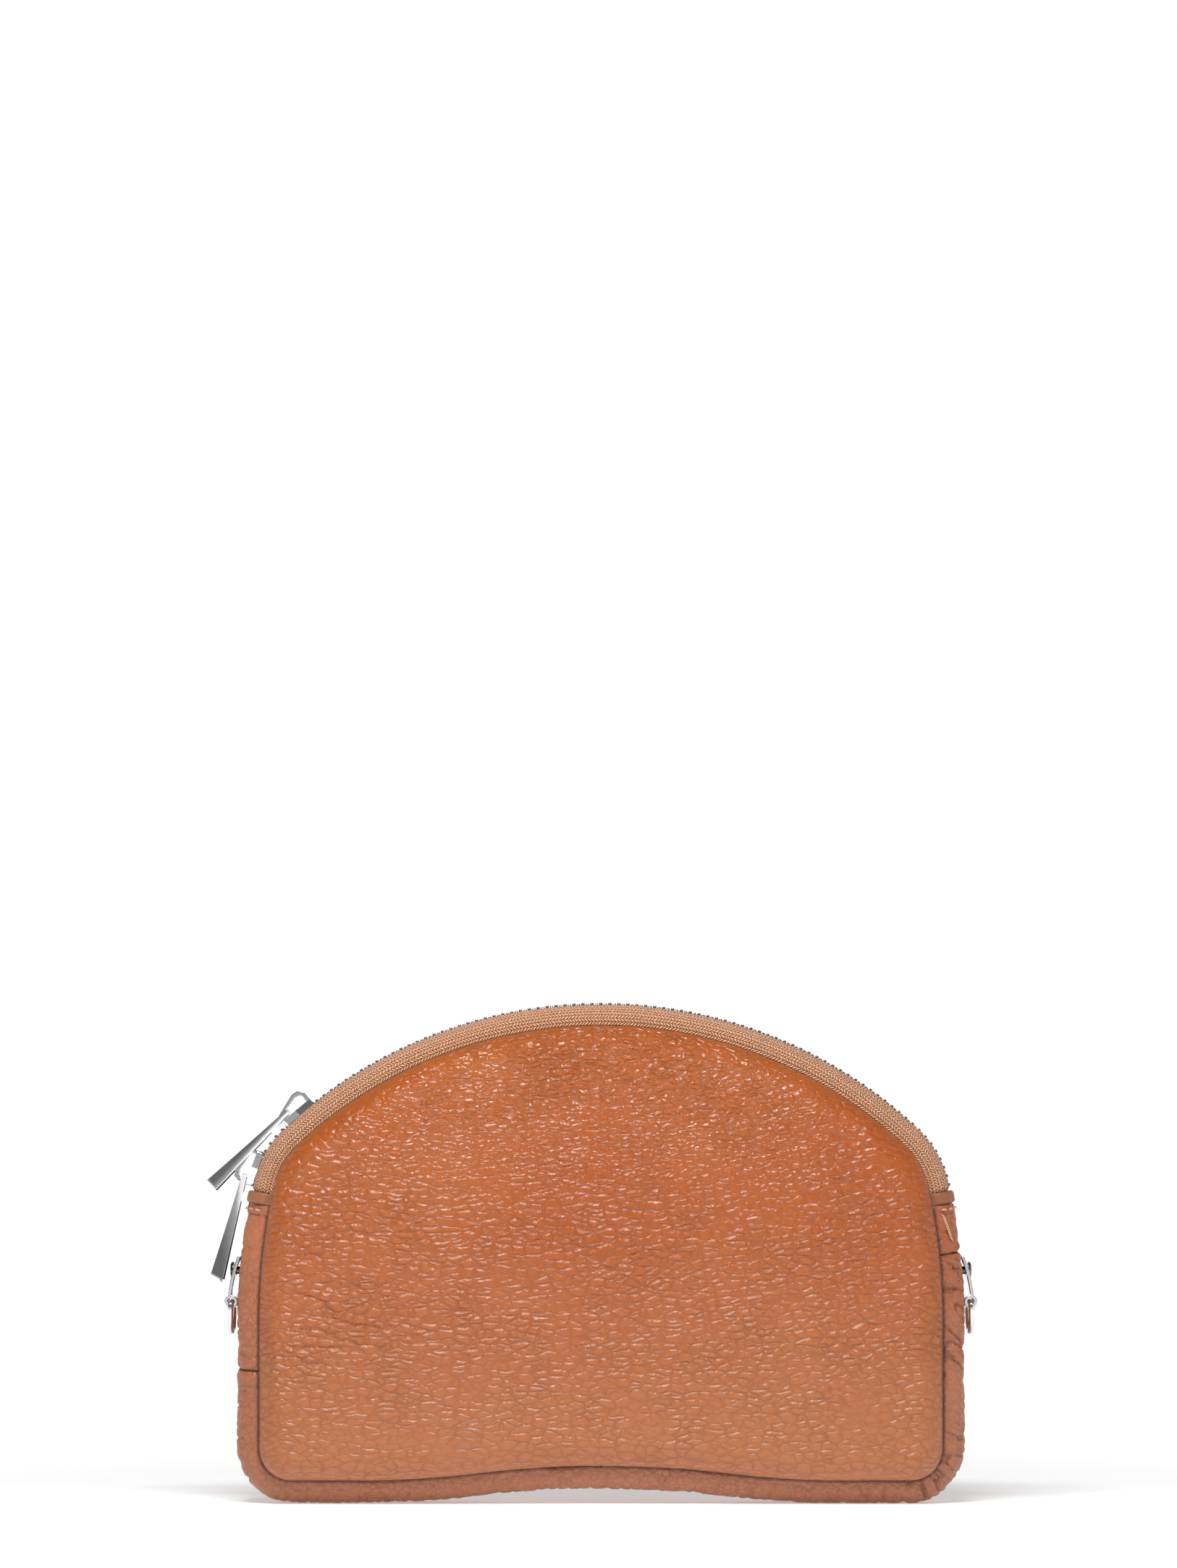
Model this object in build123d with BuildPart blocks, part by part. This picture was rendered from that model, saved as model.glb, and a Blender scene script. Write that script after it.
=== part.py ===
"""A half-moon leather pouch with a two-slider zip over its crown, standing upright on its bottom gusset.

Millimetres. +Z is up, the front faces -Y, and the origin is under the middle of the pouch at the level
of its feet. The outline is one closed chain of tangent arcs, and every sheet of the pouch is that
outline inset, or a strip swept round it.
"""
import os
from math import asin, cos, degrees, radians, sin

from build123d import *

os.makedirs("parts", exist_ok=True)

# Outline of the gusset crest, seen from the front. Angles are measured from straight up.
TOP_RADIUS = 134.4
TOP_CENTRE_Z = 9.6
TOP_END = 43.0
SHOULDER_RADIUS = 30.0
SHOULDER_END = 78.0
SIDE_RADIUS = 196.8
SIDE_END = 90.0
CORNER_RADIUS = 16.0
FOOT_INNER_X = 70.0
ARCH_RISE = 4.2

SHOULDER_X = (TOP_RADIUS - SHOULDER_RADIUS) * sin(radians(TOP_END))
SHOULDER_Z = TOP_CENTRE_Z + (TOP_RADIUS - SHOULDER_RADIUS) * cos(radians(TOP_END))
SIDE_X = SHOULDER_X - (SIDE_RADIUS - SHOULDER_RADIUS) * sin(radians(SHOULDER_END))
SIDE_Z = SHOULDER_Z - (SIDE_RADIUS - SHOULDER_RADIUS) * cos(radians(SHOULDER_END))
HALF_WIDTH = SIDE_X + SIDE_RADIUS
HEIGHT = TOP_CENTRE_Z + TOP_RADIUS
BELOW_Z = -1.0  # levels clear of the whole pouch, for cutting stretches of it
ABOVE_Z = HEIGHT + 1.0
ARCH_RADIUS = ((FOOT_INNER_X / 2) ** 2 + (ARCH_RISE / 2) ** 2) / ARCH_RISE
ARCH_ANGLE = degrees(asin(FOOT_INNER_X / 2 / ARCH_RADIUS))
# Centre x, centre z, radius, first and last angle of each arc of the crown's right half.
CROWN_ARCS = (
    (0.0, TOP_CENTRE_Z, TOP_RADIUS, 0.0, TOP_END),
    (SHOULDER_X, SHOULDER_Z, SHOULDER_RADIUS, TOP_END, SHOULDER_END),
    (SIDE_X, SIDE_Z, SIDE_RADIUS, SHOULDER_END, SIDE_END),
)

# Sheets.
LEATHER = 1.4
PADDING = 1.6
LINING = 0.5
SEAM_Y = 12.1  # the panels start here, in front of and behind the gusset
SEAM_GAP = 0.2
CREST_HALF = 5.5  # the gusset's crest is flat this far to each side
CREST_ROUND = SEAM_Y - SEAM_GAP - CREST_HALF
PANEL_INSET = CREST_ROUND + SEAM_GAP
PUFF = 7.9  # how far a panel stands out of its seam
PANEL_ROUND = 7.0
LAYER_GAP = 0.1
PADDING_Y = SEAM_Y + PUFF - LEATHER - LAYER_GAP - PADDING
LINING_PUFF = PUFF - LEATHER - PADDING - 2 * LAYER_GAP
LINING_INSET = PANEL_INSET + LEATHER + 3 * LAYER_GAP
LINING_ROUND = 3.6

# Levels where the strips round the pouch join.
LEFT_JOIN_Z = 38.0
RIGHT_JOIN_Z = 72.0
TAB_LOW_Z = 86.6
TAB_TOP_Z = 90.2
FOLD_Z = 90.4  # the front sheets fold open here, beside the zip's ends
FOLD_GAP = 0.2
TAB_PROUD = 0.9
STITCH_Z = 85.0

# Zip.
PITCH = 2.6
TOOTH_LONG = 1.05
TOOTH_OVER = 0.5  # a tooth reaches this far past the middle
TOOTH_OUT = 3.0
TOOTH_TOP = 0.5
TOOTH_BOTTOM = -1.7
TEETH_EACH_SIDE = 46
TAPE_EDGE = 1.9
TAPE_TOP = -0.4
TAPE = 0.6
PARTED = 1.75  # how far each row moves aside in front of a slider

# Sliders. Lengths run along the zip, with +x towards the slider's wide front.
SLIDER_LONG = 10.5
SLIDER_FRONT = 5.6
SLIDER_REAR = 3.8
SLIDER_CORNER = 0.9
PLATE = 1.0
SLIDER_TOP = 1.7
SLIDER_BOTTOM = -3.45
FLANGE = 0.65
SLOT_TOP = -0.2
SLOT_BOTTOM = -1.75
POST_START, POST_WIDE, POST_END = 0.8, 3.0, 5.0
POST_HALF = 1.1
POST_END_HALF = 0.8
CROWN_WIDE = 3.0
CROWN_CORNER = 0.8
# The crown's side view, along the slider and up from the zip's crest.
CROWN_OUTER = ((-5.1, 1.7), (-5.1, 4.4), (-4.2, 5.9), (-2.0, 6.2), (5.0, 3.9), (5.1, 1.7))
CROWN_INNER = ((-3.9, 1.7), (-3.9, 4.0), (-3.4, 4.6), (-2.0, 4.9), (4.0, 3.5), (4.0, 1.7))
RAMP_START = -2.5
RAMP_LONG = 4.5
UPPER_SLIDER_S = -94.8
LOWER_SLIDER_S = -115.0

# Pulls.
PULL_LONG = 32.2
PULL_EYE = 0.65  # half the thickness of the eye's bar
PULL_HOLE_END = 4.8
PULL_HOLE_WIDE = 3.7
PULL_EYE_WIDE = 6.0
PULL_WAIST = 2.8
PULL_WAIST_AT = 0.55  # where the flanks reach the waist, as a share of the pull's length
PULL_FLOOR = 0.35  # the hollow back is cut to this height over the pull's middle plane
PULL_HOLLOW = 7.5  # where the hollow starts, from the eye
PULL_HOLLOW_HALF = 1.8
PULL_WALL = 0.9
PULL_END_WIDE = 8.4
PULL_THICK = 3.8
PULL_LEVEL = 3.1  # height of the eye's centre over the zip's crest
UPPER_PULL_AT = 2.2
LOWER_PULL_AT = -3.0
UPPER_PULL_DOWN = 46.0  # how far each pull leans out to the left of hanging straight down
LOWER_PULL_DOWN = 15.0

# Ring hangers on the gusset's sides.
HANGER_TOP_Z = 71.0
HANGER_WIDE = 9.0
HANGER = 0.9
HANGER_OFF = 0.35
HANGER_BOW = 1.3
BARREL_Z = 57.9
BARREL_OUT = 2.2
BARREL_RADIUS = 1.9
RING_WIRE = 0.85
RING_PLAY = 0.12
RING_INNER_WIDE = 11.0
RING_HIGH = 9.5
RIVET_Z = 67.0
RIVET_SHANK = 1.1
RIVET_HEAD = 2.5
RIVET_DOME = 1.0
RIVET_ROUND = 0.9
RIVET_CAP = 0.6
RIVET_PLAY = 0.05
RING_CORNER = 1.6

# Stitches across the tabs.
STITCHES_HALF = 5
STITCH_PITCH = 2.5
STITCH_LONG = 1.9
STITCH_WIDE = 0.5
STITCH_THICK = 0.35


def half_outline(inset=0.0):
    """The right half of the outline, from the top round to the middle of the bottom, for a BuildLine."""
    for cx, cz, radius, start, end in CROWN_ARCS:
        CenterArc((cx, cz), radius - inset, 90 - end, end - start)
    Line((HALF_WIDTH - inset, SIDE_Z), (HALF_WIDTH - inset, CORNER_RADIUS))
    CenterArc((HALF_WIDTH - CORNER_RADIUS, CORNER_RADIUS), CORNER_RADIUS - inset, 270, 90)
    Line((HALF_WIDTH - CORNER_RADIUS, inset), (FOOT_INNER_X, inset))
    CenterArc((FOOT_INNER_X, ARCH_RADIUS), ARCH_RADIUS - inset, 270 - ARCH_ANGLE, ARCH_ANGLE)
    CenterArc((0, ARCH_RISE - ARCH_RADIUS), ARCH_RADIUS + inset, 90 - ARCH_ANGLE, ARCH_ANGLE)


def crest_plane(s, lift=0.0, forwards=1):
    """The plane s along the crest from the top, right positive: x along the zip, y across, z outwards."""
    side = 1 if s >= 0 else -1
    rest = abs(s)
    for cx, cz, radius, start, end in CROWN_ARCS:
        length = radius * radians(end - start)
        angle = radians(start) + rest / radius
        if rest <= length:
            break
        rest -= length
    out = Vector(side * sin(angle), 0, cos(angle))
    along = Vector(cos(angle), 0, -side * sin(angle)) * forwards
    return Plane(origin=Vector(side * cx, 0, cz) + out * (radius + lift), x_dir=along, z_dir=out)


def pillow(inset, depth, rounding):
    """The outline inset, thickened forwards from the front seam, with its front edge rounded."""
    with BuildPart() as block:
        with BuildSketch(Plane.XZ.offset(SEAM_Y)):
            with BuildLine():
                half_outline(inset)
                mirror(about=Plane.YZ)
            make_face()
        extrude(amount=depth)
        fillet(block.faces().sort_by(Axis.Y)[0].edges(), rounding)
    return block.part


def band_section(edge, top, thickness, rounding):
    """Half of a strip's section: flat from edge to the crest's side, then a quarter round down."""
    low = top - thickness
    Line((edge, low), (edge, top))
    Line((edge, top), (CREST_HALF, top))
    CenterArc((CREST_HALF, top - rounding), rounding, 0, 90)
    Line((CREST_HALF + rounding, top - rounding), (CREST_HALF + rounding - thickness, top - rounding))
    CenterArc((CREST_HALF, top - rounding), rounding - thickness, 0, 90)
    Line((CREST_HALF, low), (edge, low))


def band(edge, top, thickness, rounding, side=0):
    """A strip swept all round the outline. side is -1 or 1 for its front or back half, or 0 for both."""
    with BuildPart() as strip:
        with BuildLine(Plane.XZ) as path:
            half_outline()
            mirror(about=Plane.YZ)
        with BuildSketch(Plane(origin=(0, 0, HEIGHT), x_dir=(0, 1, 0), z_dir=(1, 0, 0))):
            with BuildLine():
                band_section(edge, top, thickness, rounding)
            make_face()
            if side == 0:
                mirror(about=Plane.YZ)
            if side == -1:
                mirror(about=Plane.YZ, mode=Mode.REPLACE)
        sweep(path=path.wires()[0])
    return strip.part


def sheet(inset, depth, thickness, rounding):
    """A thin dished sheet, open at the seam: the leather of a panel, or its lining."""
    with BuildPart() as dish:
        add(pillow(inset, depth, rounding))
        add(pillow(inset + thickness, depth - thickness, rounding - thickness), mode=Mode.SUBTRACT)
    return dish.part


def padding_sheet():
    """The flat wadding between a panel's leather and its lining."""
    with BuildPart() as wadding:
        with BuildSketch(Plane.XZ.offset(PADDING_Y)):
            with BuildLine():
                half_outline(PANEL_INSET + PANEL_ROUND)
                mirror(about=Plane.YZ)
            make_face()
        extrude(amount=PADDING)
    return wadding.part


def stretch_of(whole, low, high, side=0):
    """The stretch of a whole between two levels, left (-1) or right (1) of the middle or on both sides."""
    wide = (2 if side else 4) * HALF_WIDTH
    with BuildPart() as stretch:
        add(whole)
        with BuildSketch(Plane.XY.offset(low)):
            with Locations((side * HALF_WIDTH, 0)):
                Rectangle(wide, HALF_WIDTH)
        extrude(amount=high - low, mode=Mode.INTERSECT)
    return stretch.part


def side_x(z):
    """The crest's distance from the middle at a level below the shoulders."""
    return SIDE_X + (SIDE_RADIUS**2 - max(0.0, z - SIDE_Z) ** 2) ** 0.5


def stitch_plane(z, side, across):
    """On the gusset's outer face near a level: across is the way round its section from the middle."""
    hand = 1 if across >= 0 else -1
    turn = max(0.0, abs(across) - CREST_HALF) / CREST_ROUND
    lean = asin((z - SIDE_Z) / SIDE_RADIUS)
    crest_out = Vector(side * cos(lean), 0, sin(lean))
    y = Vector(0, hand * (min(abs(across), CREST_HALF) + CREST_ROUND * sin(turn)), 0)
    origin = Vector(side * side_x(z), 0, z) + y - crest_out * (CREST_ROUND * (1 - cos(turn)))
    out = crest_out * cos(turn) + Vector(0, hand * sin(turn), 0)
    round_way = Vector(0, cos(turn), 0) - crest_out * (hand * sin(turn))
    return Plane(origin=origin, x_dir=round_way, z_dir=out)


def slider_outline(narrower, longer):
    """A slider's plan: parallel in front, tapering to its rear, for a BuildSketch."""
    half = SLIDER_LONG / 2 + longer
    front = SLIDER_FRONT - narrower
    rear = SLIDER_REAR - narrower
    Polygon((half, front), (0, front), (-half, rear), (-half, -rear), (0, -front), (half, -front), align=None)


def slider_body(s, forwards):
    """Two plates joined by the post between the rows, with flanges that leave a slot for each tape."""
    at = crest_plane(s, forwards=forwards)
    room = SLIDER_TOP - SLIDER_BOTTOM - 2 * PLATE
    with BuildPart() as body:
        with BuildSketch(at.offset(SLIDER_BOTTOM)) as plan:
            slider_outline(0, 0)
            fillet(plan.vertices(), SLIDER_CORNER)
        extrude(amount=SLIDER_TOP - SLIDER_BOTTOM)
        with BuildSketch(at.offset(SLIDER_BOTTOM + PLATE)):
            slider_outline(FLANGE, SLIDER_CORNER)
        extrude(amount=room, mode=Mode.SUBTRACT)
        with BuildSketch(at.offset(SLOT_BOTTOM)):
            Rectangle(2 * SLIDER_LONG, 4 * SLIDER_FRONT)
        extrude(amount=SLOT_TOP - SLOT_BOTTOM, mode=Mode.SUBTRACT)
        with BuildSketch(at.offset(SLIDER_BOTTOM + PLATE)):
            Polygon(
                (POST_START, 0),
                (POST_WIDE, POST_HALF),
                (POST_END, POST_END_HALF),
                (POST_END, -POST_END_HALF),
                (POST_WIDE, -POST_HALF),
                align=None,
            )
        extrude(amount=room)
    return body.part


def slider_crown(s, forwards):
    """The arched bridge on a slider's top plate, high at the rear, that holds the pull's eye."""
    at = crest_plane(s, forwards=forwards)
    with BuildPart() as crown:
        with BuildSketch(Plane(origin=at.origin, x_dir=at.x_dir, z_dir=-at.y_dir)) as profile:
            Polygon(*CROWN_OUTER, align=None)
            fillet(profile.vertices().sort_by(Axis.Y)[2:], CROWN_CORNER)
            Polygon(*CROWN_INNER, align=None, mode=Mode.SUBTRACT)
        extrude(amount=CROWN_WIDE / 2, both=True)
    return crown.part


def pull_plane(s, forwards, along, down):
    """The plane of a pull's eye: x along the pull, z out of its outer face."""
    at = crest_plane(s, forwards=forwards)
    eye = at.from_local_coords(Vector(along, 0, PULL_LEVEL))
    way = Vector(-sin(radians(down)), 0, -cos(radians(down)))
    out = Vector(-cos(radians(down)), 0, sin(radians(down)))
    return Plane(origin=eye, x_dir=way, z_dir=out)


def zip_pull(at):
    """A wedge that widens and thickens to its end, with an eye bar across its thin end."""
    tip = PULL_LONG - PULL_EYE
    side_view = Plane(origin=at.origin, x_dir=at.x_dir, z_dir=-at.y_dir)
    with BuildPart() as pull:
        with BuildSketch(side_view):
            Circle(PULL_EYE)
            Polygon((0, PULL_EYE), (tip, PULL_THICK / 2), (tip, -PULL_THICK / 2), (0, -PULL_EYE), align=None)
        extrude(amount=PULL_END_WIDE / 2, both=True)
        with BuildSketch(at.offset(-PULL_THICK)):
            with BuildLine():
                flank = ThreePointArc(
                    (-PULL_EYE, PULL_EYE_WIDE / 2),
                    (tip * PULL_WAIST_AT, PULL_WAIST),
                    (tip, PULL_END_WIDE / 2),
                )
                Line(flank @ 1, (tip, 0))
                Line((-PULL_EYE, 0), flank @ 0)
                mirror(about=Plane.XZ)
            make_face()
        extrude(amount=2 * PULL_THICK, mode=Mode.INTERSECT)
        with BuildSketch(at.offset(-PULL_THICK)):
            with Locations((PULL_HOLE_END / 2 - PULL_EYE, 0)):
                RectangleRounded(PULL_HOLE_END + 2 * PULL_EYE, PULL_HOLE_WIDE, PULL_EYE)
        extrude(amount=2 * PULL_THICK, mode=Mode.SUBTRACT)
        with BuildSketch(side_view):
            Circle(PULL_EYE)
        extrude(amount=PULL_HOLE_WIDE / 2 + PULL_EYE, both=True)
        with BuildSketch(at.offset(-PULL_THICK)):
            Polygon(
                (PULL_HOLLOW, PULL_HOLLOW_HALF),
                (tip - PULL_WALL, PULL_END_WIDE / 2 - PULL_WALL),
                (tip - PULL_WALL, PULL_WALL - PULL_END_WIDE / 2),
                (PULL_HOLLOW, -PULL_HOLLOW_HALF),
                align=None,
            )
        extrude(amount=PULL_THICK + PULL_FLOOR, mode=Mode.SUBTRACT)
    return pull.part


def tooth_shift(s):
    """How far a row stands aside at s: closed outside the sliders, parted between their fronts."""
    parted = PARTED
    for slider_s, forwards in ((UPPER_SLIDER_S, -1), (LOWER_SLIDER_S, 1)):
        ahead = (s - slider_s) * forwards
        ramp = min(1.0, max(0.0, (ahead - RAMP_START) / RAMP_LONG))
        parted = min(parted, PARTED * ramp * ramp * (3 - 2 * ramp))
    return parted


def teeth_row(side):
    """One row of teeth, from end tab to end tab. The back row stands half a pitch along."""
    offset = 0 if side < 0 else PITCH / 2
    count = 2 * TEETH_EACH_SIDE + (1 if side < 0 else 0)
    with BuildPart() as row:
        for number in range(count):
            s = (number - TEETH_EACH_SIDE) * PITCH + offset
            y = side * ((TOOTH_OUT - TOOTH_OVER) / 2 + tooth_shift(s))
            with BuildSketch(crest_plane(s, lift=TOOTH_BOTTOM)):
                with Locations((0, y)):
                    Rectangle(TOOTH_LONG, TOOTH_OUT + TOOTH_OVER)
            extrude(amount=TOOTH_TOP - TOOTH_BOTTOM)
    return row.part


def tape_half(side, low):
    """One woven tape of the zip, from its beaded edge under the teeth down to the panel's seam."""
    return stretch_of(band(TAPE_EDGE, TAPE_TOP, TAPE, CREST_ROUND, side), low, ABOVE_Z)


def ring_hanger(side):
    """A bowed metal plate riveted to the gusset, its lower end rolled into a barrel for the ring."""
    barrel_x = HALF_WIDTH + BARREL_OUT
    top_x = side_x(HANGER_TOP_Z) + HANGER_OFF
    with BuildPart() as hanger:
        with BuildSketch(Plane.XZ):
            with BuildLine():
                inner = ThreePointArc(
                    (top_x, HANGER_TOP_Z),
                    (side_x(RIVET_Z) + HANGER_BOW, RIVET_Z),
                    (barrel_x, BARREL_Z + BARREL_RADIUS - HANGER),
                )
                offset(inner, amount=HANGER, side=Side.LEFT)
            make_face()
        extrude(amount=HANGER_WIDE / 2, both=True)
        with BuildSketch(Plane.XZ):
            with Locations((barrel_x, BARREL_Z)):
                Circle(BARREL_RADIUS)
        extrude(amount=HANGER_WIDE / 2, both=True)
        with BuildSketch(Plane.XZ):
            with Locations((barrel_x, BARREL_Z)):
                Circle(RING_WIRE + RING_PLAY)
        extrude(amount=HANGER_WIDE, both=True, mode=Mode.SUBTRACT)
    return hanger.part if side > 0 else hanger.part.mirror(Plane.YZ)


def d_ring(side):
    """A D-shaped wire ring: a straight bar through the hanger's barrel and a round bow below it."""
    x = side * (HALF_WIDTH + BARREL_OUT)
    bow = RING_INNER_WIDE / 2 + RING_WIRE
    bottom = RING_HIGH - RING_WIRE
    with BuildPart() as ring:
        with BuildLine(Plane(origin=(x, 0, BARREL_Z), x_dir=(0, 1, 0), z_dir=(1, 0, 0))) as path:
            bar = Line((-bow + RING_CORNER, 0), (bow - RING_CORNER, 0))
            RadiusArc(bar @ 1, (bow, -RING_CORNER), RING_CORNER)
            Line((bow, -RING_CORNER), (bow, bow - bottom))
            ThreePointArc((bow, bow - bottom), (0, -bottom), (-bow, bow - bottom))
            Line((-bow, bow - bottom), (-bow, -RING_CORNER))
            RadiusArc((-bow, -RING_CORNER), bar @ 0, RING_CORNER)
        with BuildSketch(Plane(origin=(x, 0, BARREL_Z), x_dir=(1, 0, 0), z_dir=(0, 1, 0))):
            Circle(RING_WIRE)
        sweep(path=path.wires()[0])
    return ring.part


def rivet(side):
    """A domed head outside, a shank through plate, gusset and lining, and a flat cap inside."""
    head_x = side_x(RIVET_Z) + HANGER_BOW + HANGER
    cap_x = side_x(RIVET_Z) - LEATHER - LINING - RIVET_CAP - 4 * LAYER_GAP
    with BuildPart() as piece:
        with BuildSketch(Plane.YZ.offset(cap_x)):
            with Locations((0, RIVET_Z)):
                Circle(RIVET_HEAD)
        extrude(amount=RIVET_CAP)
        with BuildSketch(Plane.YZ.offset(cap_x)):
            with Locations((0, RIVET_Z)):
                Circle(RIVET_SHANK)
        extrude(amount=head_x - cap_x)
        with BuildSketch(Plane.YZ.offset(head_x)):
            with Locations((0, RIVET_Z)):
                Circle(RIVET_HEAD)
        extrude(amount=RIVET_DOME)
        fillet(piece.faces().sort_by(Axis.X)[-1].edges(), RIVET_ROUND)
    return piece.part if side > 0 else piece.part.mirror(Plane.YZ)


def rivet_hole(side):
    """The hole that a rivet's shank needs, with a little room round it."""
    with BuildPart() as hole:
        with BuildSketch(Plane.YZ.offset(side * HALF_WIDTH / 2)):
            with Locations((0, RIVET_Z)):
                Circle(RIVET_SHANK + RIVET_PLAY)
        extrude(amount=side * HALF_WIDTH)
    return hole.part


def drilled(piece, side):
    """A piece with the rivet's hole through it."""
    with BuildPart() as result:
        add(piece)
        add(rivet_hole(side), mode=Mode.SUBTRACT)
    return result.part


def tab_stitches():
    """The short threads that hold the two zip end tabs down, in a row round the gusset on each side."""
    with BuildPart() as threads:
        for side in (-1, 1):
            for number in range(-STITCHES_HALF, STITCHES_HALF + 1):
                with BuildSketch(stitch_plane(STITCH_Z, side, number * STITCH_PITCH).offset(LAYER_GAP / 2)):
                    SlotOverall(STITCH_LONG, STITCH_WIDE)
                extrude(amount=STITCH_THICK)
    return threads.part


leather_ring = band(0, 0, LEATHER, CREST_ROUND)
lining_drop = LEATHER + LAYER_GAP
lining_ring = band(0, -lining_drop, LINING, CREST_ROUND - lining_drop)
tab_ring = band(0, TAB_PROUD, TAB_PROUD + LEATHER, CREST_ROUND + TAB_PROUD)
panel = sheet(PANEL_INSET, PUFF, LEATHER, PANEL_ROUND)
lining = sheet(LINING_INSET, LINING_PUFF, LINING, LINING_ROUND)
padding = padding_sheet()
leaf_z = FOLD_Z + FOLD_GAP

with BuildPart() as gusset_base:
    add(drilled(leather_ring, 1))
    with BuildSketch(Plane.XZ):
        with BuildLine():
            Polyline(
                (-2 * HALF_WIDTH, BELOW_Z),
                (2 * HALF_WIDTH, BELOW_Z),
                (2 * HALF_WIDTH, RIGHT_JOIN_Z - SEAM_GAP),
                (0, RIGHT_JOIN_Z - SEAM_GAP),
                (0, LEFT_JOIN_Z - SEAM_GAP),
                (-2 * HALF_WIDTH, LEFT_JOIN_Z - SEAM_GAP),
                close=True,
            )
        make_face()
    extrude(amount=HALF_WIDTH, both=True, mode=Mode.INTERSECT)

gusset_top = TAB_LOW_Z - SEAM_GAP
pieces = {
    "front_panel": stretch_of(panel, BELOW_Z, FOLD_Z),
    "front_panel_mouth": stretch_of(panel, leaf_z, ABOVE_Z),
    "back_panel": panel.mirror(Plane.XZ),
    "front_padding": stretch_of(padding, BELOW_Z, FOLD_Z),
    "front_padding_mouth": stretch_of(padding, leaf_z, ABOVE_Z),
    "back_padding": padding.mirror(Plane.XZ),
    "front_lining": stretch_of(lining, BELOW_Z, FOLD_Z),
    "front_lining_mouth": stretch_of(lining, leaf_z, ABOVE_Z),
    "back_lining": lining.mirror(Plane.XZ),
    "gusset_lining": drilled(drilled(stretch_of(lining_ring, BELOW_Z, TAB_TOP_Z), 1), -1),
    "gusset_base": gusset_base.part,
    "gusset_side_left": drilled(stretch_of(leather_ring, LEFT_JOIN_Z, gusset_top, -1), -1),
    "gusset_side_right": stretch_of(leather_ring, RIGHT_JOIN_Z, gusset_top, 1),
    "zip_end_tab_left": stretch_of(tab_ring, TAB_LOW_Z, TAB_TOP_Z, -1),
    "zip_end_tab_right": stretch_of(tab_ring, TAB_LOW_Z, TAB_TOP_Z, 1),
    "tab_stitches": tab_stitches(),
    "zip_tape_front": tape_half(-1, leaf_z),
    "zip_tape_back": tape_half(1, FOLD_Z),
    "zip_teeth_front": teeth_row(-1),
    "zip_teeth_back": teeth_row(1),
    "upper_slider_body": slider_body(UPPER_SLIDER_S, -1),
    "upper_slider_crown": slider_crown(UPPER_SLIDER_S, -1),
    "upper_pull": zip_pull(pull_plane(UPPER_SLIDER_S, -1, UPPER_PULL_AT, UPPER_PULL_DOWN)),
    "lower_slider_body": slider_body(LOWER_SLIDER_S, 1),
    "lower_slider_crown": slider_crown(LOWER_SLIDER_S, 1),
    "lower_pull": zip_pull(pull_plane(LOWER_SLIDER_S, 1, LOWER_PULL_AT, LOWER_PULL_DOWN)),
    "ring_hanger_left": drilled(ring_hanger(-1), -1),
    "ring_hanger_right": drilled(ring_hanger(1), 1),
    "hanger_rivet_left": rivet(-1),
    "hanger_rivet_right": rivet(1),
    "ring_left": d_ring(-1),
    "ring_right": d_ring(1),
}
for name, piece in pieces.items():
    piece.label = name
    export_step(piece, f"parts/{name}.step")
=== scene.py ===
"""Looks for a half-moon leather pouch with a two-slider zip over its crown. Metres, front towards -Y."""

import math

import bmesh
import bpy
import numpy as np
from mathutils import Matrix, Vector
from mathutils.kdtree import KDTree


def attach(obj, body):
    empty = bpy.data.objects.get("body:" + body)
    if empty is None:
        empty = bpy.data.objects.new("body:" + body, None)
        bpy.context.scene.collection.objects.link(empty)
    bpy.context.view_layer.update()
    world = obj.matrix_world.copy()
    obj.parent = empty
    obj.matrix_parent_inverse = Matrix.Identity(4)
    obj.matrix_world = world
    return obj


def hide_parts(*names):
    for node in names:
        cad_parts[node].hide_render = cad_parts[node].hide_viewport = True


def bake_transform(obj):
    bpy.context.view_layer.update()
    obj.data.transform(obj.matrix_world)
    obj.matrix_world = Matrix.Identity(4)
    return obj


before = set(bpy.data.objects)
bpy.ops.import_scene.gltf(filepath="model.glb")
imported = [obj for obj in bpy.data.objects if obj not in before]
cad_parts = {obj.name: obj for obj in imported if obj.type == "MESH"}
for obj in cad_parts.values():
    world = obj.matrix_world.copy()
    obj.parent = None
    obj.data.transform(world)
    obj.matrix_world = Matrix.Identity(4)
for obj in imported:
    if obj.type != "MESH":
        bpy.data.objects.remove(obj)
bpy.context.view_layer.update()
MM = 0.001

# ---------------------------------------------------------------- camera, floor and light

FRAME_HIGH = 0.455  # what the picture's long side covers at the pouch
CAMERA_BACK = 1.3
CAMERA_X = -0.0036
CAMERA_Z = 0.072
PICTURE_MIDDLE_Z = 0.2081
SENSOR = 36.0

scene = bpy.context.scene
scene.view_settings.view_transform = "Standard"
camera = bpy.data.objects.new("camera", bpy.data.cameras.new("camera"))
scene.collection.objects.link(camera)
camera.location = (CAMERA_X, -CAMERA_BACK, CAMERA_Z)
camera.rotation_euler = (math.radians(90), 0, 0)
camera.data.sensor_width = SENSOR
camera.data.lens = SENSOR * CAMERA_BACK / FRAME_HIGH
camera.data.shift_y = (PICTURE_MIDDLE_Z - CAMERA_Z) / FRAME_HIGH
camera.data.clip_start = 0.01
camera.data.clip_end = 50
scene.camera = camera


def link(name, mesh):
    obj = bpy.data.objects.new(name, mesh)
    scene.collection.objects.link(obj)
    return obj


def node(tree, kind, inputs=(), **settings):
    """A shader node. inputs are (socket, value or output socket) pairs."""
    made = tree.nodes.new(kind)
    for key, value in settings.items():
        setattr(made, key, value)
    for key, value in inputs:
        if isinstance(value, bpy.types.NodeSocket):
            tree.links.new(value, made.inputs[key])
        else:
            made.inputs[key].default_value = value
    return made


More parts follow.
